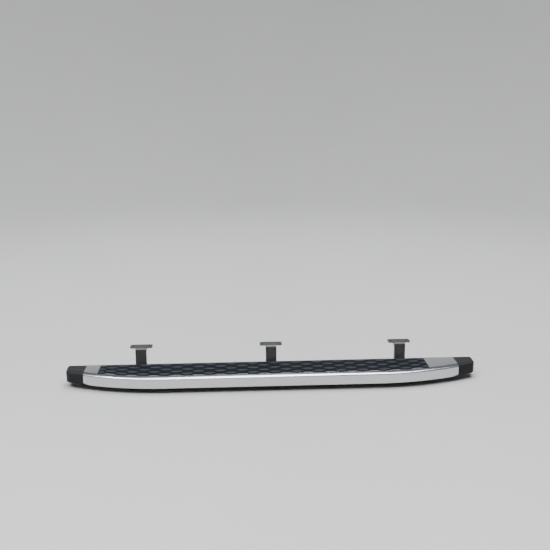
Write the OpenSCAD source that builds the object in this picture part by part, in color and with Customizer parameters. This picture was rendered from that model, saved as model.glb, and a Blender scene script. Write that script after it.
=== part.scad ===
// Running board: an aluminium beam with a silver skin, a rubber tread, moulded end caps
// and three sliding brackets. X runs along the board, -Y faces outboard, Z is up and the
// brackets' feet are at Z = 0. Lengths in millimetres.

/* [Board] */
// overall length of the board, tip to tip
board_l = 1730; // [1640:5:1800]
// depth from the outboard face to the inboard edge of the skin
board_d = 178; // [165:1:195]
// height of the outboard face, underside to front edge
face_h = 47; // [42:1:54]
// half-length of the straight middle of the outboard edge
straight_l = 440; // [400:5:480]
// plan radius of the curved ends of the outboard edge
end_arc_r = 890; // [870:5:1000]
// length of each moulded end cap along the board
cap_l = 80; // [76:1:90]
// plan radius that the end caps' outboard corner is cut to, in flat steps
cap_corner_r = 36; // [32:1:40]

/* [Skin] */
// thickness of the silver skin
skin_t = 2.2; // [1.6:0.1:2.6]
// radius where the outboard face rolls over into the top
nose_r = 9; // [7:0.5:11]
// radius at the bottom of the outboard face
chin_r = 5; // [4:0.5:6]
// depth of the sloping band behind the outboard edge
band_w = 22; // [20:1:25]
// slope of that band, in degrees
band_slope = 11; // [8:0.5:13]

/* [Tread] */
// number of pads in the longest rows
pad_count = 16; // [12:1:16]
// distance between pads along a row
pad_pitch = 91; // [86:1:91]
// length of a pad
pad_l = 54; // [48:1:56]
// width of a pad
pad_w = 19; // [15:1:20]
// height of a pad above the mat
pad_h = 2.6; // [1.8:0.2:3]
// distance between rows of pads
row_gap = 28; // [27:0.5:28.5]
// how far the mat sits towards the front end of the board
mat_shift = 35; // [0:1:35]

/* [Brackets] */
// distance from the middle bracket to each outer one
bracket_gap = 560; // [520:5:600]
// width of a bracket's arm
arm_w = 46; // [42:1:50]
// thickness of the bracket's steel
steel_t = 4; // [3:0.5:5]
// height of the sill flange's upper face above the feet
sill_h = 134; // [125:1:150]
// distance between the two sill bolts of a bracket
sill_bolt_gap = 68; // [66:1:74]
// how far each bracket can be slid along the board, each way
slide_x = 40; // [20:1:40]
// how far each bracket can be slid in and out, each way
slide_y = 8; // [4:1:8]

/* [Output] */
// the node to draw, or all of them

/* [Hidden] */
$fn = 160;

// Heights, measured from the brackets' feet.
arm_top = 22;
pad_t = 2;
under_z = arm_top + pad_t + 0.3;
nose_mid_z = face_h - nose_r;
deck_h = nose_mid_z + nose_r * cos(band_slope)
    + (band_w - nose_r + nose_r * sin(band_slope)) * tan(band_slope);

// Board.
skin_half_l = board_l / 2 - cap_l;
flange_depth = 22;
rear_flange_h = 25;
skin_silver = [0.78, 0.79, 0.81];
black = [0.07, 0.07, 0.08];
rubber_black = [0.05, 0.05, 0.055];
steel_black = [0.10, 0.10, 0.11];
zinc = [0.70, 0.70, 0.68];

// Beam.
beam_front = 80;
beam_back = board_d - skin_t;
beam_half_l = skin_half_l;
beam_wall = 2.5;
slot_y = [102, 154];
slot_open = 9;
slot_pocket_w = 15.5;
slot_pocket_h = 7;
slot_lip = 3;
slot_block_w = slot_pocket_w + 2 * beam_wall;
slot_block_h = slot_lip + slot_pocket_h + beam_wall;
beam_mid_y = (slot_y[0] + slot_y[1]) / 2;
relief_l = 40;
relief_back = slot_y[0] - slot_pocket_w / 2 - 1.75;

// Cover and its screws.
cover_t = 2.5;
cover_front = 8;
screw_r = 2;
clip_depth = 15;
former_t = 8;
former_pitch = 130;
former_count = 12;
window_w = arm_w + 2 * slide_x + 2;
cover_rear_screws = [130, 430, 690];

// End caps.
seam_turn = asin((skin_half_l - straight_l) / end_arc_r);
cap_wall = 3;
corner_x = board_l / 2 - cap_corner_r;
corner_y = end_arc_r
    - sqrt(pow(end_arc_r - cap_corner_r, 2) - pow(corner_x - straight_l, 2));
corner_turn = acos((corner_x - straight_l) / (end_arc_r - cap_corner_r));
corner_cuts = 3;
lip_l = 34;
lip_h = 8;
plug_l = 48;
plug_w = slot_y[1] - slot_y[0] - slot_block_w - 1.5;
plug_screws = [16, 34];

// Tread.
mat_t = 2;
mat_front = 34;
mat_back = board_d - 14;
mat_half_l = (pad_count - 1) / 2 * pad_pitch + 7.5;
row_count = 5;
pad_margin = 2;
front_row = band_w + pad_margin + pad_w / 2;

// Brackets and their fasteners.
arm_front = 45;
upright_y = board_d + 27;
bend_r = 6;
foot_front = arm_front + 17;
leg_back = upright_y + 23;
flange_back = upright_y + 57;
sill_hole_y = upright_y + 35;
sill_hole_r = 4.5;
flange_w = sill_bolt_gap + 28;
bolt_r = 4;
bolt_slot_r = 4.5;
bracket_x = [-bracket_gap, 0, bracket_gap];
overall_d = flange_back;

// How far the outboard edge has curved inboard at a distance x from the middle.
function recess(x) = abs(x) <= straight_l ? 0
    : end_arc_r - sqrt(pow(end_arc_r, 2) - pow(abs(x) - straight_l, 2));

// How far the outboard edge has turned inboard there, in degrees.
function edge_turn(x) = abs(x) <= straight_l ? 0
    : sign(x) * asin((abs(x) - straight_l) / end_arc_r);

// Puts a shape drawn from the outboard face and the board's underside into the shared frame.
module board_frame() {
    translate([0, -overall_d / 2, under_z])
        children();
}

// The same for a shape drawn from the brackets' feet, at a bracket's place along the board.
module bracket_frame(i) {
    translate([bracket_x[i], -overall_d / 2, 0])
        children();
}

// Stands a side profile (depth, height) up and draws it along the board.
module along_x(length) {
    rotate([90, 0, 90])
        translate([0, 0, -length / 2])
            linear_extrude(length)
                children();
}

// ---- Shape of the board ----

// Side profile of the nose, inset inward on every side and drawn back to a depth.
module nose_profile(inset, depth) {
    rise = [cos(band_slope), sin(band_slope)];
    up = [-sin(band_slope), cos(band_slope)];
    nose = [nose_r, nose_mid_z];
    top_start = nose + up * (nose_r - inset);
    top_l = (deck_h - inset - top_start[1]) / rise[1];
    polygon([
        [inset, chin_r],
        [chin_r, inset],
        [depth, inset],
        [depth, deck_h - inset],
        top_start + rise * top_l,
        top_start,
        [inset, nose_mid_z]
    ]);
    translate(nose)
        circle(nose_r - inset);
    translate([chin_r, chin_r])
        circle(chin_r - inset);
}

// Plan area behind a line that follows the outboard edge at a depth.
module plan_area(depth, back, half_l) {
    translate([-straight_l, depth])
        square([2 * straight_l, back - depth]);
    for (side = [0, 1])
        mirror([side, 0])
            intersection() {
                translate([straight_l, end_arc_r])
                    circle(end_arc_r - depth);
                translate([straight_l - 1, depth])
                    square([half_l - straight_l + 1, back - depth]);
            }
}

// Sweeps a side profile round part of the +X curved end, between two angles.
module sweep_arc(from, to) {
    translate([straight_l, end_arc_r, 0])
        rotate([0, 0, from - 90])
            rotate_extrude(angle = to - from)
                translate([end_arc_r, 0])
                    mirror([1, 0])
                        children();
}

// Sweeps a side profile along the outboard edge, out to a distance from the middle.
module sweep_front(half_l) {
    intersection() {
        union() {
            along_x(2 * straight_l)
                children();
            for (side = [0, 1])
                mirror([side, 0, 0])
                    sweep_arc(0, 30)
                        children();
        }
        translate([-half_l, -1, -1])
            cube([2 * half_l, 2 * board_d, 2 * face_h]);
    }
}

// The whole board as one solid, inset by a wall on every face but its ends.
module board_solid(inset) {
    sweep_front(skin_half_l)
        nose_profile(inset, band_w + 4);
    translate([0, 0, inset])
        linear_extrude(deck_h - 2 * inset)
            plan_area(band_w + 3, board_d - inset, skin_half_l);
}

// The wedge at the foot of the outboard face that the end cap's lip fills.
module lip_wedge(grow) {
    rotate([90, 0, 0])
        translate([0, 0, -recess(skin_half_l) - flange_depth - 4])
            linear_extrude(recess(skin_half_l) + flange_depth + 5)
                polygon([
                    [skin_half_l - lip_l - grow, -1],
                    [skin_half_l + 1, -1],
                    [skin_half_l + 1, lip_h + grow],
                    [skin_half_l, lip_h + grow],
                    [skin_half_l - lip_l - grow, 0.8 + grow]
                ]);
}

// ---- Places shared by more than one piece ----

// Draws a piece at every nose former.
module at_formers(step) {
    for (i = [0 : step : former_count - 1])
        translate([(i - (former_count - 1) / 2) * former_pitch, 0, 0])
            children();
}

// Draws a piece at every screw of the underside cover.
module at_cover_screws() {
    for (x = cover_rear_screws)
        for (side = [-1, 1])
            translate([side * x, beam_mid_y, 0])
                children();
    for (i = [0 : former_count - 1])
        if (i % 2 == (i < former_count / 2 ? 0 : 1)) {
            x = (i - (former_count - 1) / 2) * former_pitch;
            translate([x, recess(x) + clip_depth, 0])
                children();
        }
}

// Draws a piece at every rivet of the skin's inboard flange.
module at_rivets() {
    for (x = [-700 : 280 : 700])
        translate([x, board_d, deck_h - rear_flange_h / 2])
            rotate([-90, 0, 0])
                children();
}

// Draws a piece at the two screws of the cap on the +X end.
module at_cap_screws() {
    for (x = plug_screws)
        translate([skin_half_l - x, beam_mid_y, 0])
            children();
}

// A pan-head screw pointing up, with its head's upper face at height 0.
module screw(head_r, head_h, shank_r, shank_l) {
    difference() {
        union() {
            translate([0, 0, -head_h])
                cylinder(h = head_h, r = head_r);
            translate([0, 0, -0.01])
                cylinder(h = shank_l, r = shank_r);
        }
        for (turn = [0, 90])
            rotate([0, 0, turn])
                translate([-head_r * 0.55, -0.5, -head_h - 1])
                    cube([head_r * 1.1, 1, 2.2]);
    }
}

// ---- Board pieces ----

module core_beam() {
    color(zinc)
        board_frame()
            difference() {
                along_x(2 * beam_half_l)
                    beam_section();
                at_cover_screws()
                    translate([0, 0, -1])
                        cylinder(h = 5, r = screw_r + 0.05);
                at_rivets()
                    translate([0, 0, -12])
                        cylinder(h = 14, r = 2.45);
                for (side = [0, 1])
                    mirror([side, 0, 0]) {
                        end_relief();
                        at_cap_screws()
                            translate([0, 0, -1])
                                cylinder(h = 5, r = screw_r + 0.05);
                    }
            }
}

// Cutter that clears the beam's front corner where the skin's curved end and the cap's lip
// come in over it.
module end_relief() {
    translate([skin_half_l - relief_l, beam_front - 1, -1])
        cube([relief_l + 1, relief_back - beam_front + 1, 2 * face_h]);
    translate([skin_half_l - relief_l, beam_front - 1, slot_block_h + 8])
        cube([relief_l + 1, relief_back + 3.5 - beam_front + 1, 2 * face_h]);
}

// Cross-section of the beam: three chambers over two full-length T-slots.
module beam_section() {
    beam_h = deck_h - skin_t;
    difference() {
        translate([beam_front, 0])
            square([beam_back - beam_front, beam_h]);
        difference() {
            translate([beam_front + beam_wall, beam_wall])
                square([beam_back - beam_front - 2 * beam_wall, beam_h - 2 * beam_wall]);
            for (y = slot_y) {
                translate([y - slot_block_w / 2, 0])
                    square([slot_block_w, slot_block_h]);
                translate([y - 1, 0])
                    square([2, beam_h]);
            }
        }
        for (y = slot_y) {
            translate([y - slot_open / 2, -1])
                square([slot_open, slot_lip + 2]);
            translate([y - slot_pocket_w / 2, slot_lip])
                square([slot_pocket_w, slot_pocket_h]);
        }
    }
}

module step_skin() {
    color(skin_silver)
        board_frame()
            difference() {
                board_solid(0);
                board_solid(skin_t);
                translate([0, 0, -1])
                    linear_extrude(skin_t + 2)
                        plan_area(flange_depth, board_d + 1, skin_half_l + 1);
                translate([-board_l / 2, beam_front - 0.5, -1])
                    cube([board_l, board_d, skin_t + 2]);
                translate([-board_l / 2, board_d - 8, -1])
                    cube([board_l, 10, deck_h - rear_flange_h + 1]);
                for (side = [0, 1])
                    mirror([side, 0, 0])
                        lip_wedge(0.3);
                at_cover_screws()
                    translate([0, 0, -1])
                        cylinder(h = 5, r = screw_r + 0.05);
                at_rivets()
                    translate([0, 0, -12])
                        cylinder(h = 14, r = 2.45);
            }
}

module tread_mat() {
    color(rubber_black)
        board_frame()
            translate([0, 0, deck_h]) {
                linear_extrude(mat_t) {
                    intersection() {
                        plan_area(mat_front, mat_back, board_l / 2 - 60);
                        mat_length(0);
                    }
                    mat_pads(pad_margin, 0);
                }
                linear_extrude(mat_t + pad_h)
                    mat_pads(0, 3);
            }
}

// Plan strip as long as the mat, less a margin at each end.
module mat_length(margin) {
    translate([-mat_half_l - mat_shift + margin, 0])
        square([2 * (mat_half_l - margin), board_d]);
}

// Plan of the tread pads, grown by a margin and cut off short of the mat's ends. The
// outboard row follows the board's curved edge and the rows straighten out behind it.
module mat_pads(grow, end_margin) {
    intersection() {
        union()
            for (row = [0 : row_count - 1])
                if (grow == 0 || row == 0)
                    for (i = [0 : pad_count - 1 - row % 2]) {
                        x = (i - (pad_count - 1 - row % 2) / 2) * pad_pitch - mat_shift;
                        follow = 1 - row / (row_count - 1);
                        translate([x, front_row + row * row_gap + follow * recess(x)])
                            rotate(follow * edge_turn(x))
                                pad_area(grow);
                    }
        mat_length(end_margin);
    }
}

// A rectangle with rounded corners, drawn from its corner.
module rounded_area(length, width, r) {
    translate([r, 0])
        square([length - 2 * r, width]);
    translate([0, r])
        square([length, width - 2 * r]);
    for (x = [r, length - r])
        for (y = [r, width - r])
            translate([x, y])
                circle(r);
}

// Plan of one almond-shaped tread pad: the overlap of two circles, with blunt ends.
module pad_area(grow) {
    half_l = pad_l / 2 + grow;
    half_w = pad_w / 2 + grow;
    arc_r = (pow(half_l, 2) + pow(half_w, 2)) / (2 * half_w);
    intersection() {
        translate([0, arc_r - half_w])
            circle(arc_r);
        translate([0, half_w - arc_r])
            circle(arc_r);
        square([pad_l - 6 + 2 * grow, pad_w + 2 + 2 * grow], center = true);
    }
}

module nose_formers() {
    color(black)
        board_frame()
            difference() {
                intersection() {
                    board_solid(skin_t + 0.02);
                    at_formers(1)
                        translate([-former_t / 2, 0, skin_t])
                            cube([former_t, beam_front, 2 * face_h]);
                }
                at_formers(1)
                    former_lightening();
                at_cover_screws()
                    translate([0, 0, -1])
                        cylinder(h = 14, r = screw_r + 0.05);
            }
}

// Rounded window through a former, clear of its edges where the board is narrowest.
module former_lightening() {
    rotate([90, 0, 90])
        translate([0, 0, -former_t])
            linear_extrude(2 * former_t) {
                translate([beam_front - 12, 24])
                    circle(7);
                translate([beam_front - 12, 17])
                    square([6, 14]);
            }
}

module underside_cover() {
    color(black)
        board_frame()
            difference() {
                translate([0, 0, -cover_t])
                    linear_extrude(cover_t)
                        plan_area(cover_front, beam_back, skin_half_l - 0.5);
                for (x = bracket_x)
                    translate([x - window_w / 2, arm_front - slide_y - 1, -cover_t - 1])
                        cube([window_w, board_d, cover_t + 2]);
                for (side = [0, 1])
                    mirror([side, 0, 0]) {
                        lip_wedge(0.3);
                        at_cap_screws()
                            translate([0, 0, -cover_t - 1])
                                cylinder(h = cover_t + 2, r = 6);
                    }
                at_cover_screws()
                    translate([0, 0, -cover_t - 1])
                        cylinder(h = cover_t + 2, r = screw_r + 0.05);
                for (x = [-645, -345, -215, 215, 345, 645])
                    translate([x, beam_front - 14, -cover_t - 1])
                        drain_slot();
            }
}

// Cutter for a drain slot through the underside cover.
module drain_slot() {
    for (x = [-9, 9])
        translate([x, 0, 0])
            cylinder(h = cover_t + 2, r = 4);
    translate([-9, -4, 0])
        cube([18, 8, cover_t + 2]);
}

module cover_screws() {
    color(zinc)
        board_frame()
            at_cover_screws()
                translate([0, 0, -cover_t])
                    screw(5.5, 2, screw_r, cover_t + skin_t + 8);
}

module skin_rivets() {
    color(zinc)
        board_frame()
            at_rivets() {
                cylinder(h = 1.6, r1 = 4.8, r2 = 3.4);
                translate([0, 0, -10])
                    cylinder(h = 10.01, r = 2.4);
                translate([0, 0, -skin_t - beam_wall - 5])
                    cylinder(h = 5, r = 3.3);
            }
}

// ---- End caps ----

// The cap on the +X end as one solid, inset by a wall.
module cap_solid(inset) {
    start = skin_half_l + 0.3 + (inset > 0 ? cap_wall : 0);
    difference() {
        intersection() {
            union() {
                sweep_arc(seam_turn - 1.5, 31)
                    nose_profile(inset, band_w + 3);
                translate([0, 0, inset])
                    linear_extrude(deck_h - 2 * inset)
                        plan_area(band_w + 1, board_d - inset, board_l / 2 + 10);
            }
            translate([start, -1, -1])
                cube([board_l / 2 - inset - start, board_d + 2, 2 * face_h]);
        }
        corner_planes(inset);
    }
}

// Cutters that take the cap's outboard corner off in flat steps round its radius.
module corner_planes(inset) {
    for (i = [1 : corner_cuts])
        translate([corner_x, corner_y, -2])
            rotate([0, 0, -corner_turn * i / (corner_cuts + 1)])
                translate([cap_corner_r - inset, -3 * face_h, 0])
                    cube([2 * cap_corner_r, 6 * face_h, 2 * face_h]);
}

// The cap on the +X end: shell, lip under the skin and plug in the beam's middle chamber.
module end_cap() {
    difference() {
        union() {
            difference() {
                cap_solid(0);
                difference() {
                    cap_solid(cap_wall);
                    for (y = [beam_front + 20, beam_mid_y + 24])
                        translate([skin_half_l, y, 0])
                            cube([cap_l, 2, 2 * face_h]);
                }
            }
            cap_lip();
            translate([skin_half_l - plug_l, beam_mid_y - plug_w / 2, beam_wall + 0.1])
                cube([plug_l + 4, plug_w, 30]);
        }
        translate([skin_half_l - plug_l - 1, beam_mid_y - plug_w / 2 + 3, 14])
            cube([plug_l - 3, plug_w - 6, 30]);
        at_cap_screws()
            translate([0, 0, -1])
                cylinder(h = 16, r = screw_r + 0.05);
    }
}

// The tapered lip that reaches from the cap under the foot of the silver face.
module cap_lip() {
    difference() {
        intersection() {
            sweep_arc(seam_turn - 4, seam_turn + 2)
                nose_profile(0, flange_depth - 2);
            lip_wedge(0);
        }
        sweep_arc(seam_turn - 5, seam_turn + 3)
            nose_profile(cap_wall, flange_depth);
    }
}

module end_cap_front() {
    color(black)
        board_frame()
            mirror([1, 0, 0])
                end_cap();
}

module end_cap_rear() {
    color(black)
        board_frame()
            end_cap();
}

module cap_screws_front() {
    color(zinc)
        board_frame()
            mirror([1, 0, 0])
                at_cap_screws()
                    screw(4.5, 2.2, screw_r, 13);
}

module cap_screws_rear() {
    color(zinc)
        board_frame()
            at_cap_screws()
                screw(4.5, 2.2, screw_r, 13);
}

// ---- Brackets ----

// Side profile of the pressed strip: arm, upright and sill flange with rounded bends.
module strip_profile() {
    outer_r = bend_r + steel_t;
    translate([arm_front, arm_top - steel_t])
        square([upright_y - bend_r - arm_front, steel_t]);
    translate([upright_y - bend_r, arm_top + bend_r])
        bend(outer_r, [0, -1]);
    translate([upright_y, arm_top + bend_r])
        square([steel_t, sill_h - steel_t - bend_r - arm_top - bend_r]);
    translate([upright_y + steel_t + bend_r, sill_h - outer_r])
        bend(outer_r, [-1, 0]);
    translate([upright_y + steel_t + bend_r, sill_h - steel_t])
        square([flange_back - upright_y - steel_t - bend_r, steel_t]);
}

// A quarter ring, in the quarter that starts at a corner of the unit square.
module bend(outer_r, corner) {
    intersection() {
        difference() {
            circle(outer_r);
            circle(bend_r);
        }
        translate(corner * outer_r)
            square(outer_r);
    }
}

// Side profile of a bracket's legs, under the arm and behind the upright.
module leg_profile() {
    polygon([
        [arm_front, arm_top - 1],
        [arm_front, arm_top - 10],
        [foot_front, 0],
        [leg_back - 12, 0],
        [leg_back, 12],
        [leg_back - 4, sill_h - 30],
        [flange_back - 8, sill_h - steel_t + 1],
        [upright_y + 8, sill_h - steel_t + 1],
        [upright_y + 1, sill_h - 14],
        [upright_y + 1, arm_top + 6],
        [upright_y - 6, arm_top - 1]
    ]);
}

module bracket(i) {
    color(steel_black)
        bracket_frame(i)
            difference() {
                union() {
                    along_x(arm_w)
                        strip_profile();
                    translate([0, 0, sill_h - steel_t])
                        linear_extrude(steel_t)
                            translate([-flange_w / 2, upright_y + 12])
                                rounded_area(flange_w, flange_back - upright_y - 12, 10);
                    for (side = [-1, 1])
                        translate([side * (arm_w - steel_t) / 2, 0, 0])
                            along_x(steel_t)
                                leg_profile();
                }
                bolt_slots(arm_top - steel_t - 1, steel_t + 2);
                for (side = [-1, 1])
                    translate([side * sill_bolt_gap / 2, sill_hole_y, sill_h - steel_t - 1])
                        cylinder(h = steel_t + 2, r = sill_hole_r);
            }
}

// Cutter for the slots that let the bracket move in and out on its T-bolts.
module bolt_slots(z, height) {
    for (y = slot_y)
        translate([0, y, z]) {
            for (side = [-1, 1])
                translate([0, side * slide_y, 0])
                    cylinder(h = height, r = bolt_slot_r);
            translate([-bolt_slot_r, -slide_y, 0])
                cube([2 * bolt_slot_r, 2 * slide_y, height]);
        }
}

module isolator(i) {
    color(rubber_black)
        bracket_frame(i)
            difference() {
                translate([0, 0, arm_top])
                    linear_extrude(pad_t)
                        translate([-arm_w / 2 + 1, foot_front])
                            rounded_area(arm_w - 2, board_d - foot_front + 2, 5);
                bolt_slots(arm_top - 1, pad_t + 2);
            }
}

// T-bolts whose heads ride in the beam's slots, hanging down through the arm.
module t_bolts(i) {
    color(zinc)
        bracket_frame(i)
            for (y = slot_y)
                translate([0, y, 0]) {
                    translate([-7, -6.9, under_z + slot_lip + 0.1])
                        cube([14, 13.8, 5]);
                    translate([0, 0, 4.5])
                        cylinder(h = under_z + slot_lip, r = bolt_r);
                }
}

module washers(i) {
    color(zinc)
        bracket_frame(i)
            for (y = slot_y)
                translate([0, y, arm_top - steel_t - 0.1 - 1.6])
                    difference() {
                        cylinder(h = 1.6, r = 9.5);
                        translate([0, 0, -1])
                            cylinder(h = 4, r = bolt_r + 0.05);
                    }
}

module nuts(i) {
    color(zinc)
        bracket_frame(i)
            for (y = slot_y)
                translate([0, y, arm_top - steel_t - 0.1 - 1.6 - 8])
                    difference() {
                        union() {
                            cylinder(h = 8, r = 7.5, $fn = 6);
                            translate([0, 0, 6.4])
                                cylinder(h = 1.6, r = 8.8);
                        }
                        translate([0, 0, -1])
                            cylinder(h = 10, r = bolt_r + 0.05);
                    }
}

core_beam();
step_skin();
tread_mat();
nose_formers();
underside_cover();
cover_screws();
skin_rivets();
end_cap_front();
end_cap_rear();
cap_screws_front();
cap_screws_rear();
bracket(0);  // bracket_front
bracket(1);  // bracket_middle
bracket(2);  // bracket_rear
isolator(0);  // isolator_front
isolator(1);  // isolator_middle
isolator(2);  // isolator_rear
t_bolts(0);  // t_bolts_front
t_bolts(1);  // t_bolts_middle
t_bolts(2);  // t_bolts_rear
washers(0);  // washers_front
washers(1);  // washers_middle
washers(2);  // washers_rear
nuts(0);  // nuts_front
nuts(1);  // nuts_middle
nuts(2);  // nuts_rear
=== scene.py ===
"""Looks of the running board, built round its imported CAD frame.

The frame is in metres: X along the board, -Y outboard, Z up, the brackets' feet at Z = 0.
Shapes are drawn in millimetres, as in the CAD, and at() turns them into frame metres.
"""

import math
import random

import bmesh
import bpy
from mathutils import Matrix, Vector


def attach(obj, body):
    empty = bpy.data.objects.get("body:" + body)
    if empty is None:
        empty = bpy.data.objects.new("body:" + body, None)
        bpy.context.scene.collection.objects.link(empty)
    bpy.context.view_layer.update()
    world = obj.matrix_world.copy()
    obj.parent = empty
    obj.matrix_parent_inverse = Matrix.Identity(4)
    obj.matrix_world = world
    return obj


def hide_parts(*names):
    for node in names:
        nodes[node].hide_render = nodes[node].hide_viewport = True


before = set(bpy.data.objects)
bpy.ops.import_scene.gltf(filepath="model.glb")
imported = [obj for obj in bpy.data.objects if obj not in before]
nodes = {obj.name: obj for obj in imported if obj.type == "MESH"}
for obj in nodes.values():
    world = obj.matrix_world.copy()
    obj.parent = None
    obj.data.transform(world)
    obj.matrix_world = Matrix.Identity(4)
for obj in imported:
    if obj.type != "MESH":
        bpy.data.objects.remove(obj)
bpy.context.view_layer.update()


# ---- Camera ----

LENS_MM = 54.8
CAMERA_PLACE = (-0.1316, -3.3705, 1.2503)
# Degrees turned towards +X, down, and rolled.
CAMERA_TURN = (2.51, 13.13, -0.5)


def make_camera():
    """The photo's viewpoint: about three metres off, a little ahead of the middle."""
    data = bpy.data.cameras.new("camera")
    data.lens = LENS_MM
    data.clip_end = 60
    cam = bpy.data.objects.new("camera", data)
    bpy.context.scene.collection.objects.link(cam)
    yaw, pitch, roll = (math.radians(angle) for angle in CAMERA_TURN)
    forward = Vector((
        math.sin(yaw) * math.cos(pitch),
        math.cos(yaw) * math.cos(pitch),
        -math.sin(pitch),
    ))
    right = forward.cross(Vector((0, 0, 1))).normalized()
    up = right.cross(forward)
    side = math.cos(roll) * right + math.sin(roll) * up
    over = side.cross(forward)
    turn = Matrix((side, over, -forward)).transposed()
    cam.matrix_world = Matrix.Translation(CAMERA_PLACE) @ turn.to_4x4()
    bpy.context.scene.camera = cam


make_camera()


# ---- Materials ----

class Paint:
    """Short-hand for building one material's node tree."""

    def __init__(self, name):
        self.mat = bpy.data.materials.new(name)
        self.mat.use_nodes = True
        self.tree = self.mat.node_tree
        self.shader = self.tree.nodes["Principled BSDF"]

    def add(self, kind, **inputs):
        """A new node of a kind, with its inputs set."""
        node = self.tree.nodes.new(kind)
        for key, value in inputs.items():
            self.set(node, key.replace("_", " "), value)
        return node

    def set(self, node, socket, value):
        """Sets an input to a value, or links it when the value is another node's output."""
        target = node.inputs[socket]
        if isinstance(value, bpy.types.NodeSocket):
            self.tree.links.new(value, target)
        else:
            target.default_value = value

    def look(self, **inputs):
        """Sets the material's own inputs."""
        for key, value in inputs.items():
            self.set(self.shader, key.replace("_", " "), value)

    def place(self, scale=(1, 1, 1)):
        """Coordinates on the object, stretched."""
        coords = self.add("ShaderNodeTexCoord")
        mapping = self.add("ShaderNodeMapping")
        self.set(mapping, "Vector", coords.outputs["Object"])
        mapping.inputs["Scale"].default_value = scale
        return mapping.outputs["Vector"]

    def noise(self, size, detail=3.0, stretch=(1, 1, 1), roughness=0.5):
        """Noise whose features are about size metres across."""
        node = self.add("ShaderNodeTexNoise", Vector=self.place(stretch))
        node.inputs["Scale"].default_value = 1 / size
        node.inputs["Detail"].default_value = detail
        node.inputs["Roughness"].default_value = roughness
        return node.outputs["Fac"]

    def cells(self, size):
        """Rounded cells about size metres across."""
        node = self.add("ShaderNodeTexVoronoi", Vector=self.place())
        node.inputs["Scale"].default_value = 1 / size
        return node.outputs["Distance"]

    def span(self, value, low, high, start=0.0, end=1.0):
        """Maps a value from start..end to low..high."""
        node = self.add("ShaderNodeMapRange")
        self.set(node, "Value", value)
        node.inputs["From Min"].default_value = start
        node.inputs["From Max"].default_value = end
        node.inputs["To Min"].default_value = low
        node.inputs["To Max"].default_value = high
        return node.outputs["Result"]

    def patches(self, pattern, first, second, start, end):
        """Colour that goes from first to second as a pattern goes from start to end."""
        node = self.tree.nodes.new("ShaderNodeMix")
        node.data_type = "RGBA"
        self.set(node, 0, self.span(pattern, 0.0, 1.0, start, end))
        self.set(node, 6, first)
        self.set(node, 7, second)
        return node.outputs[2]

    def bump(self, height, depth, strength=1.0, under=None):
        """Relief of a depth in metres, on top of the relief under it."""
        node = self.add("ShaderNodeBump", Height=height)
        node.inputs["Distance"].default_value = depth
        node.inputs["Strength"].default_value = strength
        if under is not None:
            self.set(node, "Normal", under)
        return node.outputs["Normal"]


def rgb(r, g, b):
    return (r, g, b, 1.0)


def shade(tint, gain, lift=0.0):
    """A colour made lighter or darker, and lifted towards dust grey."""
    return rgb(*(channel * gain + lift for channel in tint[:3]))


def anodised(name, tint, roughness):
    """Satin anodised aluminium with a fine grain along the board."""
    paint = Paint(name)
    grain = paint.noise(0.0004, 4, (0.02, 1, 1), 0.6)
    cloud = paint.noise(0.12, 3)
    paint.look(
        Base_Color=paint.patches(cloud, tint, shade(tint, 0.94), 0.3, 0.7),
        Metallic=1.0,
        Roughness=paint.span(grain, roughness - 0.05, roughness + 0.07, 0.3, 0.7),
        Normal=paint.bump(grain, 0.00004, 0.25),
    )
    return paint.mat


def moulded(name, tint, roughness, grain_size=0.0013, depth=0.0002):
    """Black moulded plastic with a fine leathery grain."""
    paint = Paint(name)
    cells = paint.cells(grain_size)
    fine = paint.noise(grain_size * 0.6, 2)
    dust = paint.noise(0.05, 5, roughness=0.65)
    paint.look(
        Base_Color=paint.patches(dust, tint, shade(tint, 1.35, 0.002), 0.35, 0.75),
        Roughness=paint.span(dust, roughness - 0.06, roughness + 0.08, 0.3, 0.7),
        Specular_IOR_Level=0.14,
        Normal=paint.bump(fine, depth * 0.4, 0.5, paint.bump(cells, depth, 0.6)),
    )
    return paint.mat


def rubber(name, tint, gloss=0.3):
    """Dull rubber with scuffs and a trace of dust."""
    paint = Paint(name)
    fine = paint.noise(0.0006, 3)
    pebbles = paint.cells(0.0016)
    scuff = paint.noise(0.03, 6, (1, 2.5, 1), 0.7)
    paint.look(
        Base_Color=paint.patches(scuff, tint, shade(tint, 1.7, 0.003), 0.4, 0.75),
        Roughness=paint.span(scuff, 0.5, 0.68, 0.3, 0.7),
        Specular_IOR_Level=gloss,
        Normal=paint.bump(fine, 0.0001, 0.5, paint.bump(pebbles, 0.0003, 0.6)),
    )
    return paint.mat


def powder_coat(name, tint):
    """Satin powder coat with its faint orange peel."""
    paint = Paint(name)
    peel = paint.noise(0.0022, 2)
    wear = paint.noise(0.02, 5, roughness=0.7)
    paint.look(
        Base_Color=paint.patches(wear, tint, shade(tint, 1.5, 0.004), 0.45, 0.8),
        Roughness=paint.span(wear, 0.34, 0.48, 0.3, 0.7),
        Normal=paint.bump(peel, 0.00015, 0.5),
    )
    return paint.mat


def plated(name, tint, roughness):
    """Bright plating with fine scratches and clouded patches."""
    paint = Paint(name)
    scratch = paint.noise(0.0008, 5, (1, 0.15, 1), 0.7)
    patch = paint.noise(0.006, 3)
    paint.look(
        Base_Color=paint.patches(patch, tint, shade(tint, 0.8), 0.35, 0.7),
        Metallic=1.0,
        Roughness=paint.span(patch, roughness - 0.05, roughness + 0.1, 0.3, 0.7),
        Normal=paint.bump(scratch, 0.00003, 0.4),
    )
    return paint.mat


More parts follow.
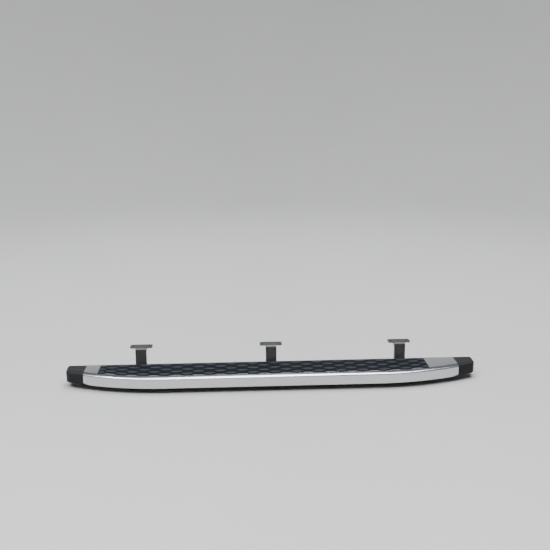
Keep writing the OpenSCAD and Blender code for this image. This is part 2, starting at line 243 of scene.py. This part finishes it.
SILVER = anodised("silver_anodised", rgb(0.62, 0.63, 0.645), 0.2)
MILL = anodised("mill_aluminium", rgb(0.45, 0.455, 0.46), 0.42)
CAP_BLACK = moulded("cap_black", rgb(0.009, 0.009, 0.0095), 0.45)
TRAY_BLACK = moulded("tray_black", rgb(0.04, 0.04, 0.041), 0.58, 0.0018)
MAT_BLACK = rubber("mat_black", rgb(0.003, 0.004, 0.006), 0.05)
PAD_BLACK = rubber("pad_black", rgb(0.008, 0.010, 0.014), 0.22)
ISOLATOR_BLACK = rubber("isolator_black", rgb(0.014, 0.014, 0.014))
COAT = powder_coat("bracket_coat", rgb(0.018, 0.018, 0.019))
ZINC = plated("zinc_plate", rgb(0.68, 0.69, 0.66), 0.3)


# ---- The board's measures, as in its CAD, in millimetres ----

# Along the board, from its middle.
STRAIGHT = 440
ARC_R = 890
SEAM_X = 785
TIP_X = 865
BRACKETS = {"front": -560, "middle": 0, "rear": 560}

# Across it, from the outboard face.
BOARD_D = 178
BAND_W = 22
FLANGE_D = 22
FLANGE_BACK = 79.5
BEAM_MID = 128
SLOT_DEPTHS = (102, 154)

# The skin, the caps' lip and the cover.
DECK_H = 49.695
SKIN_T = 2.2
NOSE_R = 9
CHIN_R = 5
BAND_SLOPE = math.radians(11)
REAR_FLANGE_H = 25
LIP_L = 34
COVER_T = 2.5

# Where the outboard face and the underside lie in the frame.
FACE_Y = -131
UNDER_Z = 24.3


def at(x, depth, height):
    """A point given from the outboard face and the underside, as frame metres."""
    return Vector((x, FACE_Y + depth, UNDER_Z + height)) / 1000


def on_floor(x, depth, height=0):
    """The same for a height above the floor."""
    return Vector((x, FACE_Y + depth, height)) / 1000


def recess(x):
    """How far the outboard edge has curved inboard at a distance from the middle."""
    over = abs(x) - STRAIGHT
    return 0 if over <= 0 else ARC_R - math.sqrt(ARC_R ** 2 - over ** 2)


def edge_turn(x):
    """How far the outboard edge has turned there."""
    over = abs(x) - STRAIGHT
    return 0 if over <= 0 else math.copysign(math.asin(over / ARC_R), x)


def mix(a, b, share):
    """The value a share of the way from a to b."""
    return a + (b - a) * share


# ---- Mesh helpers ----

def grid(bm, rows, closed=False):
    """Joins rows of vertices with quads; closed joins each row's last vertex to its first."""
    for low, high in zip(rows, rows[1:]):
        count = len(low)
        for i in range(count if closed else count - 1):
            j = (i + 1) % count
            bm.faces.new((low[i], low[j], high[j], high[i]))


def ring(bm, points):
    """New vertices at the points."""
    return [bm.verts.new(p) for p in points]


def tube(bm, rows):
    """A solid from closed rows of points, with a flat face at each end."""
    made = [ring(bm, row) for row in rows]
    grid(bm, made, closed=True)
    bm.faces.new(made[0])
    bm.faces.new(made[-1])


def hoop(bm, rows):
    """A solid ring: closed rows that also join last to first."""
    made = [ring(bm, row) for row in rows]
    grid(bm, made + made[:1], closed=True)


def turned(bm, outline, place, turn=Matrix.Identity(3), steps=32, hollow=False):
    """Turns an outline about +Z at a place. Each point is (radius, height) in millimetres, and
    a radius may be a function of the angle. A hollow outline is a loop round the bore."""
    rows = []
    for radius, height in outline:
        row = []
        for i in range(steps):
            angle = 2 * math.pi * i / steps
            r = radius(angle) if callable(radius) else radius
            row.append(place + turn @ Vector((r * math.cos(angle), r * math.sin(angle), height)) / 1000)
        rows.append(row)
    if hollow:
        hoop(bm, rows)
    else:
        tube(bm, rows)


def carved(bm, cutter):
    """The solid in bm less the solid in cutter. Both are used up."""
    pieces = []
    for source in (bm, cutter):
        bmesh.ops.recalc_face_normals(source, faces=source.faces)
        mesh = bpy.data.meshes.new("carving")
        source.to_mesh(mesh)
        source.free()
        piece = bpy.data.objects.new("carving", mesh)
        bpy.context.scene.collection.objects.link(piece)
        pieces.append(piece)
    work, tool = pieces
    cut = work.modifiers.new("cut", "BOOLEAN")
    cut.operation = "DIFFERENCE"
    cut.solver = "EXACT"
    cut.object = tool
    result = bmesh.new()
    result.from_object(work, bpy.context.evaluated_depsgraph_get())
    for piece in pieces:
        mesh = piece.data
        bpy.data.objects.remove(piece)
        bpy.data.meshes.remove(mesh)
    return result


def prism(bm, outline, low, high):
    """A solid from a plan or side outline, given its points at the low and the high end."""
    tube(bm, [[low(*p) for p in outline], [high(*p) for p in outline]])


def block(bm, size, place, round_by):
    """A box with rounded edges, in metres."""
    stretch = Matrix.Diagonal((*size, 1))
    made = bmesh.ops.create_cube(bm, size=1, matrix=Matrix.Translation(place) @ stretch)
    edges = list(dict.fromkeys(edge for vert in made["verts"] for edge in vert.link_edges))
    bmesh.ops.bevel(bm, geom=edges, offset=round_by, segments=3, affect="EDGES", profile=0.5)


def finish_piece(name, bm, materials, body, stands_for, sharp=32):
    """Makes a mesh a named piece of the object that takes a CAD node's place."""
    bmesh.ops.remove_doubles(bm, verts=bm.verts, dist=1e-7)
    bmesh.ops.recalc_face_normals(bm, faces=bm.faces)
    mesh = bpy.data.meshes.new(name)
    bm.to_mesh(mesh)
    bm.free()
    for material in materials:
        mesh.materials.append(material)
    mesh.shade_smooth()
    mesh.set_sharp_from_angle(angle=math.radians(sharp))
    piece = bpy.data.objects.new(name, mesh)
    bpy.context.scene.collection.objects.link(piece)
    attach(piece, body)
    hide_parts(stands_for)
    return piece


# ---- Skin ----

def curve(centre, radius, start, end, steps):
    """Points on an arc of a side profile, with angles in degrees."""
    points = []
    for i in range(steps + 1):
        angle = math.radians(mix(start, end, i / steps))
        points.append((centre[0] + radius * math.cos(angle), centre[1] + radius * math.sin(angle)))
    return points


def nose_line(inset, start, nose_r=NOSE_R, chin_r=CHIN_R, band=BAND_W, crease=2.5):
    """Side profile of the outboard edge from its underside, over the nose, to the deck."""
    nose_z = DECK_H - nose_r * math.cos(BAND_SLOPE)
    nose_z -= (band - nose_r + nose_r * math.sin(BAND_SLOPE)) * math.tan(BAND_SLOPE)
    line = [(start, inset)]
    line += curve((chin_r, chin_r), chin_r - inset, 270, 180, 8)
    line += curve((nose_r, nose_z), nose_r - inset, 180, 90 + math.degrees(BAND_SLOPE), 16)
    corner = (band + inset * math.tan(BAND_SLOPE / 2), DECK_H - inset)
    before = (corner[0] - crease * math.cos(BAND_SLOPE), corner[1] - crease * math.sin(BAND_SLOPE))
    after = (corner[0] + crease, corner[1])
    for i in range(5):
        t = i / 4
        weights = ((1 - t) ** 2, 2 * t * (1 - t), t ** 2)
        line.append(tuple(
            sum(weight * value for weight, value in zip(weights, values))
            for values in zip(before, corner, after)
        ))
    return line


def edge_place(side, share, depth, height, reach=SEAM_X):
    """A point of the swept edge: share runs from 0 where the curve starts to 1 at the seam."""
    radius = ARC_R - depth
    angle = share * math.asin((reach - STRAIGHT) / radius)
    return side * (STRAIGHT + radius * math.sin(angle)), ARC_R - radius * math.cos(angle), height


def skin_row(side, share, edge_inset, reach):
    """One closed section of the skin; its edges are inset by a little at the seams."""
    outer = nose_line(edge_inset, FLANGE_D - edge_inset)
    inner = nose_line(SKIN_T - edge_inset, FLANGE_D - edge_inset)
    front = [edge_place(side, share, d, h, reach) for d, h in outer]
    behind = [edge_place(side, share, d, h, reach) for d, h in inner]
    for line in (front, behind):
        x, y, h = line[0]
        line[0] = (x, min(y, FLANGE_BACK), h)
    bend_r = 2.8
    centre = (BOARD_D - bend_r, DECK_H - bend_r)
    low = DECK_H - REAR_FLANGE_H + edge_inset
    rear = curve(centre, bend_r - edge_inset, 90, 0, 6)
    rear += [(BOARD_D - edge_inset, low), (BOARD_D - SKIN_T + edge_inset, low)]
    rear += curve(centre, bend_r - SKIN_T + edge_inset, 0, 90, 6)
    x = front[-1][0]
    points = front + [(x, d, h) for d, h in rear] + behind[::-1]
    return [at(*p) for p in points]


def make_skin():
    """The skin swept from seam to seam, notched at its foot for the caps' lips."""
    steps = 40
    trim = 0.3
    bm = bmesh.new()
    rows = [skin_row(-1, 1, trim, SEAM_X)]
    rows += [skin_row(-1, i / steps, 0, SEAM_X - trim) for i in range(steps, -1, -1)]
    rows += [skin_row(1, i / steps, 0, SEAM_X - trim) for i in range(steps + 1)]
    rows += [skin_row(1, 1, trim, SEAM_X)]
    tube(bm, rows)
    notch = bmesh.new()
    outline = [
        (SEAM_X - LIP_L - 0.3, -1),
        (SEAM_X + 1, -1),
        (SEAM_X + 1, 8.3),
        (SEAM_X, 8.3),
        (SEAM_X - LIP_L - 0.3, 1.1),
    ]
    for side in (-1, 1):
        prism(
            notch,
            outline,
            lambda x, h: at(side * x, recess(SEAM_X) - 40, h),
            lambda x, h: at(side * x, recess(SEAM_X) + FLANGE_D + 4, h),
        )
    bm = carved(bm, notch)
    finish_piece("skin_shell", bm, [SILVER], "board", "step_skin", 28)


make_skin()


# ---- Tread mat ----

PAD_PITCH = 91
PAD_L = 54
PAD_W = 19
PAD_H = 2.6
ROW_GAP = 28
ROWS = 5
PADS = 16
MAT_T = 2
MAT_SHIFT = -35
MAT_HALF_L = 690
MAT_FRONT = 34
MAT_BACK = 164
FIRST_ROW = 33.5


def pad_places():
    """(row, x, depth, turn) of every pad."""
    for row in range(ROWS):
        count = PADS - row % 2
        follow = 1 - row / (ROWS - 1)
        for i in range(count):
            x = (i - (count - 1) / 2) * PAD_PITCH + MAT_SHIFT
            yield row, x, FIRST_ROW + row * ROW_GAP + follow * recess(x), follow * edge_turn(x)


def lens_half_width(x, half_l, half_w):
    """Half the width of an almond shape at a distance from its middle."""
    radius = (half_l ** 2 + half_w ** 2) / (2 * half_w)
    inside = radius ** 2 - x ** 2
    return 0 if inside <= 0 else max(0, math.sqrt(inside) - radius + half_w)


def mat_edge(x, lobes):
    """Depth of the mat's outboard edge, which bulges round the pads of the first row."""
    over = max(0, abs(x) - STRAIGHT)
    edge = ARC_R - math.sqrt((ARC_R - MAT_FRONT) ** 2 - over ** 2)
    for lobe_x, depth, turn in lobes:
        across = (x - lobe_x) / math.cos(turn)
        if abs(across) < PAD_L / 2 + 2:
            bulge = lens_half_width(across, PAD_L / 2 + 2, PAD_W / 2 + 2)
            lobe = depth + across * math.sin(turn) - bulge * math.cos(turn)
            edge = min(edge, lobe)
    return edge


def make_mat():
    """The mat with its scalloped edge, and the pads sunk a little into it."""
    lobes = [(x, depth, turn) for row, x, depth, turn in pad_places() if row == 0]
    # One section every two millimetres, so that the scallops are smooth.
    steps = MAT_HALF_L
    bm = bmesh.new()
    left = MAT_SHIFT - MAT_HALF_L
    rows = []
    for i in range(steps + 1):
        x = left + 2 * MAT_HALF_L * i / steps
        drop = 0.6 if i in (0, steps) else 0
        front, back = mat_edge(x, lobes), MAT_BACK
        section = [
            (front, 0),
            (front, 1.3 - drop),
            (front + 0.25, 1.75 - drop),
            (front + 0.8, MAT_T - drop),
            (back - 0.8, MAT_T - drop),
            (back - 0.25, 1.75 - drop),
            (back, 1.3 - drop),
            (back, 0),
        ]
        rows.append([at(x, d, DECK_H + h) for d, h in section])
    tube(bm, rows)
    mat_faces = len(bm.faces)
    for row, x, depth, turn in pad_places():
        add_pad(bm, x, depth, turn)
    bm.faces.ensure_lookup_table()
    for face in bm.faces[mat_faces:]:
        face.material_index = 1
    finish_piece("tread_surface", bm, [MAT_BLACK, PAD_BLACK], "board", "tread_mat", 40)


def add_pad(bm, x, depth, turn):
    """One domed almond pad, cut square where the mat ends."""
    steps = 18
    # How far each level is inset, and its height above the mat.
    dome = ((0, -0.4), (0.1, 1.1), (0.4, 1.8), (1.1, 2.25), (2.6, 2.5), (5.5, PAD_H))
    rows = []
    for inset, height in dome:
        half_l, half_w = PAD_L / 2 - inset, PAD_W / 2 - inset
        end = MAT_HALF_L - 3 - inset

        def width(along):
            return lens_half_width(along, half_l, half_w)

        def stop(way, side):
            """How far along itself the pad reaches one way, on one side of its middle line."""
            reach = way * (half_l - 3)
            for _ in range(8):
                lean = side * width(reach) * math.sin(turn)
                limit = (MAT_SHIFT + way * end - x + lean) / math.cos(turn)
                reach = way * min(half_l - 3, way * limit)
            return reach

        row = []
        for side in (1, -1):
            first, last = stop(-side, side), stop(side, side)
            for i in range(steps + 1):
                along = mix(first, last, i / steps)
                across = side * width(along)
                px = x + along * math.cos(turn) - across * math.sin(turn)
                py = depth + along * math.sin(turn) + across * math.cos(turn)
                row.append(at(px, py, DECK_H + MAT_T + height))
        rows.append(row)
    tube(bm, rows)


make_mat()


# ---- End caps ----

CAP_START = SEAM_X + 0.3
CORNER_R = 36
REAR_R = 10
CORNER_X = TIP_X - CORNER_R
CORNER_Y = ARC_R - math.sqrt((ARC_R - CORNER_R) ** 2 - (CORNER_X - STRAIGHT) ** 2)
CORNER_TURN = math.asin((CORNER_X - STRAIGHT) / (ARC_R - CORNER_R))


def cap_stations():
    """Sections round the cap from seam to seam, each as its inset, its place in plan as a
    function of depth, and its nose radius, chin radius and band width."""
    def on_edge(share, start):
        def place(depth):
            radius = ARC_R - depth
            angle = mix(math.asin((start - STRAIGHT) / radius), CORNER_TURN, share)
            return STRAIGHT + radius * math.sin(angle), ARC_R - radius * math.cos(angle)
        return place

    def round_corner(centre, radius, angle):
        def place(depth):
            reach = radius - depth
            return centre[0] + reach * math.sin(angle), centre[1] - reach * math.cos(angle)
        return place

    yield 0.5, on_edge(0, CAP_START), NOSE_R, CHIN_R, BAND_W
    for i in range(11):
        yield 0, on_edge(i / 10, CAP_START + 0.5), NOSE_R, CHIN_R, BAND_W
    for i in range(1, 15):
        share = i / 14
        turn = mix(CORNER_TURN, math.pi / 2, share)
        place = round_corner((CORNER_X, CORNER_Y), CORNER_R, turn)
        yield 0, place, mix(NOSE_R, 7, share), mix(CHIN_R, 4, share), mix(BAND_W, 14, share)
    for i in range(9):
        share = i / 8
        turn = mix(math.pi / 2, math.pi, share)
        place = round_corner((TIP_X - REAR_R, BOARD_D - REAR_R), REAR_R, turn)
        yield 0, place, mix(5, 3.5, share), 3, mix(8, 6, share)
    for inset, x in ((0, CAP_START + 0.5), (0.5, CAP_START)):
        yield inset, lambda depth, x=x: (x, BOARD_D - depth), 3.5, 3, 6


def add_cap_shell(bm, side):
    """The cap's outer shape: rows of its sections, closed underneath and at the seam."""
    rows = []
    for inset, place, nose_r, chin_r, band in cap_stations():
        line = nose_line(inset, band + 1, nose_r, chin_r, band, 1)
        rows.append(ring(bm, [at(side * place(d)[0], place(d)[1], h) for d, h in line]))
    grid(bm, rows)
    bm.faces.new([row[-1] for row in rows])
    bm.faces.new([row[0] for row in rows])
    bm.faces.new(rows[0] + rows[-1][::-1])


def chin_depth(height):
    """How far the outboard face has rounded inboard at a height above the underside."""
    return CHIN_R - math.sqrt(CHIN_R ** 2 - (CHIN_R - min(height, CHIN_R)) ** 2)


def add_cap_lip(bm, side):
    """The lip that tapers out from the cap under the foot of the silver face."""
    steps = 16
    wall = 3
    rows = []
    for i in range(steps + 1):
        reach = mix(SEAM_X - LIP_L, SEAM_X + 2, i / steps)
        top = min(8, 0.8 + (8 - 0.8) * (reach - SEAM_X + LIP_L) / LIP_L)
        shelf = min(wall, top - 0.1)
        line = [(FLANGE_D - 4, shelf), (FLANGE_D - 4, 0), (CHIN_R, 0)]
        line += [(chin_depth(top * j / 8), top * j / 8) for j in range(1, 9)]
        line += [(max(wall, chin_depth(top) + 0.6), top), (wall + 2, shelf)]
        rows.append([at(*edge_place(side, 1, d, h, reach)) for d, h in line])
    tube(bm, rows)


def make_cap(end, side):
    """One end cap; side is -1 at the front end and 1 at the rear."""
    bm = bmesh.new()
    add_cap_shell(bm, side)
    add_cap_lip(bm, side)
    finish_piece("cap_" + end, bm, [CAP_BLACK], "board", "end_cap_" + end, 34)


make_cap("front", -1)
make_cap("rear", 1)


# ---- Fasteners ----

INBOARD = Matrix.Rotation(math.radians(-90), 3, "X")


def hexagon(across, limit):
    """Radius of a hexagon bar by angle, turned down to a limit at its chamfer."""
    def radius(angle):
        off = (angle + math.pi / 6) % (math.pi / 3) - math.pi / 6
        return min(across / 2 / math.cos(off), limit)
    return radius


def add_threaded_rod(bm, x, depth, low, thread_top, high):
    """An M8 rod with its thread cut as a helix; heights in millimetres above the floor."""
    pitch, crest_r, thread_depth = 1.25, 3.95, 0.55
    tip_r, tip_slope = 3.1, 1.2
    steps = 24
    per_turn = 6
    count = int((thread_top - low) / pitch * per_turn)
    centre = on_floor(x, depth)
    heights = [low + pitch * i / per_turn for i in range(count + 1)]
    rows = []
    for i, z in enumerate(heights):
        row = []
        for j in range(steps):
            angle = 2 * math.pi * j / steps
            phase = (z / pitch - j / steps) % 1
            run_out = min(1, (count - i) / per_turn)
            r = crest_r - 2 * thread_depth * abs(phase - 0.5) * run_out
            r = min(r, tip_r + (z - low) * tip_slope)
            row.append(centre + Vector((r * math.cos(angle), r * math.sin(angle), z)) / 1000)
        rows.append(row)
    for z in (thread_top + 0.4, high):
        row = []
        for j in range(steps):
            angle = 2 * math.pi * j / steps
            spot = Vector((crest_r * math.cos(angle), crest_r * math.sin(angle), z))
            row.append(centre + spot / 1000)
        rows.append(row)
    tube(bm, rows)


def make_clamp(end, x):
    """One bracket's T-bolts, washers and flange nuts, which slide with it."""
    body = "clamps_" + end
    bolts = bmesh.new()
    washers = bmesh.new()
    nuts = bmesh.new()
    for depth in SLOT_DEPTHS:
        add_threaded_rod(bolts, x, depth, 4.5, 17, 29)
        block(bolts, (0.014, 0.0138, 0.005), on_floor(x, depth, 29.9), 0.0007)
        foot = on_floor(x, depth)
        rim = [(4.3, 16.3), (9.2, 16.3), (9.5, 16.6), (9.5, 17.5), (9.1, 17.9), (4.3, 17.9)]
        turned(washers, rim, foot, steps=48, hollow=True)
        wide, cut = hexagon(13, 20), hexagon(13, 6.7)
        outline = [
            (4.05, 8.7), (4.6, 8.3), (6.1, 8.3), (cut, 8.45), (wide, 9.1), (wide, 14.4),
            (7.9, 14.9), (8.6, 15.3), (8.8, 15.7), (8.8, 16.0), (8.5, 16.3), (4.5, 16.3), (4.05, 15.9),
        ]
        turned(nuts, outline, foot, steps=48, hollow=True)
    finish_piece("bolts_" + end, bolts, [ZINC], body, "t_bolts_" + end)
    finish_piece("rings_" + end, washers, [ZINC], body, "washers_" + end)
    finish_piece("flange_nuts_" + end, nuts, [ZINC], body, "nuts_" + end)


for end, x in BRACKETS.items():
    make_clamp(end, x)


def screw_mesh(head_r, head_h, shank_l):
    """A pan-head screw pointing up, with a cross recess; its head's upper face is at 0."""
    bm = bmesh.new()
    outline = [
        (0.5, -head_h), (head_r * 0.45, -head_h), (head_r * 0.75, -head_h * 0.88),
        (head_r * 0.93, -head_h * 0.6), (head_r, -head_h * 0.25), (head_r, 0),
        (2, 0), (2, shank_l - 2), (0.5, shank_l),
    ]
    turned(bm, outline, Vector((0, 0, 0)))
    cross = bmesh.new()
    arm, half = head_r * 0.5, 0.5
    plus = [
        (-arm, -half), (-half, -half), (-half, -arm), (half, -arm), (half, -half), (arm, -half),
        (arm, half), (half, half), (half, arm), (-half, arm), (-half, half), (-arm, half),
    ]
    prism(
        cross,
        plus,
        lambda x, y: Vector((x, y, -head_h - 1)) / 1000,
        lambda x, y: Vector((x * 0.7, y * 0.7, -head_h + 1.3)) / 1000,
    )
    bm = carved(bm, cross)
    mesh = bpy.data.meshes.new("screw")
    bm.to_mesh(mesh)
    bm.free()
    return mesh


def make_screws(name, mesh, places, stands_for):
    """Screws at their places, each stopped at its own angle, as one piece."""
    bm = bmesh.new()
    turns = random.Random(7)
    for place in places:
        start = len(bm.verts)
        bm.from_mesh(mesh)
        bm.verts.ensure_lookup_table()
        spin = Matrix.Translation(place) @ Matrix.Rotation(turns.uniform(0, math.pi / 2), 4, "Z")
        bmesh.ops.transform(bm, matrix=spin, verts=bm.verts[start:])
    finish_piece(name, bm, [ZINC], "board", stands_for)


def cover_screw_places():
    """Along the beam, clear of the brackets, then under every other rib of the nose formers."""
    for x in (130, 430, 690):
        for side in (-1, 1):
            yield at(side * x, BEAM_MID, -COVER_T)
    for i in range(12):
        if i % 2 == (0 if i < 6 else 1):
            x = (i - 5.5) * 130
            yield at(x, recess(x) + 15, -COVER_T)


make_screws("tray_screws", screw_mesh(5.5, 2, 10), list(cover_screw_places()), "cover_screws")
cap_screw = screw_mesh(4.5, 2.2, 12)
for end, side in (("front", -1), ("rear", 1)):
    places = [at(side * (SEAM_X - x), BEAM_MID, 0) for x in (16, 34)]
    make_screws("plug_screws_" + end, cap_screw, places, "cap_screws_" + end)


def make_rivets():
    """Blind rivets along the skin's inboard flange, each with its hollow head."""
    outline = [
        (2.3, -10), (3.3, -9.5), (3.3, -5.2), (2.4, -4.8), (2.4, 0), (4.8, 0), (4.6, 0.5),
        (3.9, 1.1), (2.7, 1.45), (1.5, 1.6), (1.1, 1.55), (1.0, 1.0), (0.2, 0.95),
    ]
    bm = bmesh.new()
    for x in range(-700, 701, 280):
        turned(bm, outline, at(x, BOARD_D, DECK_H - REAR_FLANGE_H / 2), INBOARD)
    finish_piece("blind_rivets", bm, [MILL], "board", "skin_rivets")


make_rivets()


# ---- Nodes that keep their CAD shape ----

FINISHES = {
    "core_beam": (MILL, 0.3),
    "nose_formers": (TRAY_BLACK, 0.3),
    "underside_cover": (TRAY_BLACK, 0.4),
    "bracket": (COAT, 0.6),
    "isolator": (ISOLATOR_BLACK, 0.4),
}


def soften(piece, width):
    """Rounds a CAD node's edges a little, as real ones are."""
    weld = piece.modifiers.new("weld", "WELD")
    weld.merge_threshold = 1e-6
    flat = piece.modifiers.new("flat", "DECIMATE")
    flat.decimate_type = "DISSOLVE"
    flat.angle_limit = math.radians(0.5)
    bevel = piece.modifiers.new("bevel", "BEVEL")
    bevel.width = width / 1000
    bevel.segments = 2
    bevel.limit_method = "ANGLE"
    bevel.angle_limit = math.radians(40)
    bevel.use_clamp_overlap = False
    even = piece.modifiers.new("even", "WEIGHTED_NORMAL")
    even.keep_sharp = True
    even.weight = 100
    piece.data.shade_smooth()


for name, piece in nodes.items():
    for start, (material, width) in FINISHES.items():
        if name.startswith(start):
            piece.data.materials.clear()
            piece.data.materials.append(material)
            soften(piece, width)


# ---- Stage ----

def make_studio():
    """A pale round studio: a flat floor that curves up into a low wall, see-through from outside."""
    flat_r, bend_r, wall_top = 5.0, 4.0, 5.0
    outline = [(0.01, 0), (2, 0), (4, 0)]
    for i in range(13):
        angle = math.pi / 2 * i / 12
        outline.append((flat_r + bend_r * math.sin(angle), bend_r - bend_r * math.cos(angle)))
    outline.append((flat_r + bend_r, wall_top))
    bm = bmesh.new()
    steps = 96
    rows = []
    for radius, height in outline:
        row = []
        for i in range(steps):
            angle = 2 * math.pi * i / steps
            row.append(Vector((radius * math.cos(angle), radius * math.sin(angle), height)))
        rows.append(ring(bm, row))
    grid(bm, rows, closed=True)
    bm.faces.new(rows[0])
    bmesh.ops.recalc_face_normals(bm, faces=bm.faces)
    if bm.faces[0].normal.z < 0:
        bmesh.ops.reverse_faces(bm, faces=bm.faces)
    mesh = bpy.data.meshes.new("studio")
    bm.to_mesh(mesh)
    bm.free()
    mesh.shade_smooth()
    paint = Paint("studio_paint")
    haze = paint.noise(0.7, 3)
    paint.look(
        Base_Color=paint.patches(haze, rgb(0.365, 0.365, 0.365), rgb(0.357, 0.357, 0.36), 0.3, 0.7),
        Roughness=0.85,
        Specular_IOR_Level=0.2,
    )
    side = paint.add("ShaderNodeNewGeometry")
    clear = paint.add("ShaderNodeBsdfTransparent")
    either = paint.add("ShaderNodeMixShader")
    paint.tree.links.new(side.outputs["Backfacing"], either.inputs[0])
    paint.tree.links.new(paint.shader.outputs["BSDF"], either.inputs[1])
    paint.tree.links.new(clear.outputs["BSDF"], either.inputs[2])
    output = paint.tree.nodes["Material Output"]
    paint.tree.links.new(either.outputs["Shader"], output.inputs["Surface"])
    mesh.materials.append(paint.mat)
    studio = bpy.data.objects.new("studio", mesh)
    bpy.context.scene.collection.objects.link(studio)


def add_softbox(name, place, aim, size, power):
    """A rectangular light at a place, facing its aim."""
    data = bpy.data.lights.new(name, "AREA")
    data.shape = "RECTANGLE"
    data.size, data.size_y = size
    data.energy = power
    lamp = bpy.data.objects.new(name, data)
    lamp.location = place
    lamp.rotation_mode = "QUATERNION"
    lamp.rotation_quaternion = (Vector(aim) - Vector(place)).to_track_quat("-Z", "Y")
    bpy.context.scene.collection.objects.link(lamp)


def make_sky():
    """Soft light from above the studio's wall, bluish and dimmer low down, bright overhead."""
    world = bpy.data.worlds.new("studio")
    bpy.context.scene.world = world
    world.use_nodes = True
    tree = world.node_tree
    coords = tree.nodes.new("ShaderNodeTexCoord")
    split = tree.nodes.new("ShaderNodeSeparateXYZ")
    tree.links.new(coords.outputs["Generated"], split.inputs["Vector"])
    ramp = tree.nodes.new("ShaderNodeValToRGB")
    tree.links.new(split.outputs["Z"], ramp.inputs["Fac"])
    stops = [
        (0.0, (0.45, 0.45, 0.46)),
        (0.45, (0.10, 0.115, 0.14)),
        (0.78, (0.10, 0.115, 0.14)),
        (0.92, (0.9, 0.93, 1.0)),
    ]
    elements = ramp.color_ramp.elements
    while len(elements) < len(stops):
        elements.new(0.5)
    for element, (position, colour) in zip(elements, stops):
        element.position = position
        element.color = rgb(*colour)
    tree.links.new(ramp.outputs["Color"], tree.nodes["Background"].inputs["Color"])
    tree.nodes["Background"].inputs["Strength"].default_value = 1.0


make_studio()
add_softbox("key", (-1.5, -2.6, 4.2), (0, 0, 0), (4.5, 2.0), 415)
add_softbox("top", (0.6, 0.2, 4.6), (0, 0, 0), (6.0, 2.2), 425)
for quarter in range(4):
    way = Vector((math.sin(quarter * math.pi / 2), math.cos(quarter * math.pi / 2), 0))
    place = way * 2.5 + Vector((0, 0, 4.8))
    aim = way * 9 + Vector((0, 0, 1.5))
    add_softbox("wall_%d" % quarter, place, aim, (5, 1.2), 300)
make_sky()
